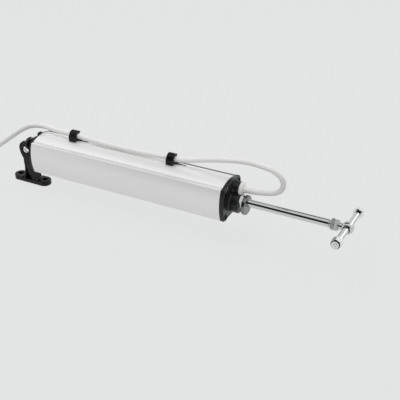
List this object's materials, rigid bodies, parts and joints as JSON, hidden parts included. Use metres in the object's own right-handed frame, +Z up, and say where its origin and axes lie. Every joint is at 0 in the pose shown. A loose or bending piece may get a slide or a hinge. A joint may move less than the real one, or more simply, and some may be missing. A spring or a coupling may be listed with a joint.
{
  "type": "electric linear actuator",
  "caption": "Electric spindle actuator in an extruded aluminium housing, with a pivoting foot bracket, a push rod with eye bolt and cross pin, and a clipped supply cable.",
  "frame": {"origin": "middle of the foot bracket's underside, below the pivot", "axes": "+X along the push rod towards the window, +Z up from the foot, Y along the pivot"},
  "size_m": [0.7037, 0.1221, 0.1107],
  "materials": {
    "satin_aluminium": "satin anodised, drawn lengthwise",
    "black_plastic": "fine moulded grain",
    "dark_rubber": "matte",
    "zinc_steel": "zinc plated",
    "chrome": "bright plated",
    "bronze": "machined",
    "grey_plastic": "moulded",
    "cable_sheath": "smooth extruded sheath",
    "circuit_board": "solder mask"
  },
  "bodies": {
    "housing": {"housing_profile": "satin_aluminium", "front_gasket": "dark_rubber", "rear_gasket": "dark_rubber", "front_cap": "black_plastic", "rear_cap": "black_plastic", "front_cap_screws": "zinc_steel", "rear_cap_screws": "zinc_steel", "rod_guide_bush": "bronze", "guide_nut": "chrome", "rod_wiper_seal": "dark_rubber", "guide_flange": "zinc_steel", "cable_gland": "grey_plastic", "cable_inner_end": "cable_sheath", "cable_clip_rear": "black_plastic", "cable_clip_front": "black_plastic", "nut_guide_tube": "grey_plastic", "motor_can": "zinc_steel", "motor_end_bell": "black_plastic", "gearbox_housing": "zinc_steel", "bearing_carrier": "black_plastic", "bearing_outer_ring": "zinc_steel", "bearing_balls": "zinc_steel", "control_board": "circuit_board", "board_components": "black_plastic", "terminal_block": "grey_plastic", "limit_switch_bodies": "black_plastic", "limit_switch_plungers": "grey_plastic", "pivot_bush": "bronze", "supply_cable": "cable_sheath", "cable_coil": "cable_sheath", "cable_tail": "cable_sheath", "cable_cores": "cable_sheath"},
    "screw": {"gearbox_output_shaft": "zinc_steel", "screw_coupling": "zinc_steel", "lead_screw": "zinc_steel", "bearing_inner_ring": "zinc_steel"},
    "rod": {"drive_nut": "bronze", "push_rod": "chrome", "rod_end_nut": "chrome", "lock_nut": "chrome", "eye_bolt": "chrome"},
    "cross_pin": {"cross_pin": "chrome", "pin_collars": "chrome", "pin_washers": "chrome", "pin_end_nut": "chrome"},
    "bracket": {"mounting_bracket": "black_plastic", "pivot_screw": "zinc_steel", "pivot_nut": "zinc_steel"}
  },
  "joints": [
    {"name": "bracket_pivot", "type": "hinge", "parent": "housing", "child": "bracket", "pos_m": [0, 0, 0.0523], "axis": [0, 1, 0], "range_deg": [-25, 60]},
    {"name": "rod_slide", "type": "slide", "parent": "housing", "child": "rod", "axis": [1, 0, 0], "range_m": [-0.1, 0]},
    {"name": "screw_turn", "type": "hinge", "parent": "housing", "child": "screw", "pos_m": [0.2, 0, 0.0523], "axis": [1, 0, 0], "range_deg": [-9000, 0]},
    {"name": "pin_turn", "type": "hinge", "parent": "rod", "child": "cross_pin", "pos_m": [0.4636, 0, 0.0523], "axis": [0, 0.9954, -0.0958], "continuous": true}
  ],
  "couplings": [
    {"joint": "screw_turn", "follows": "rod_slide", "rad_per_m": 1570.8}
  ]
}
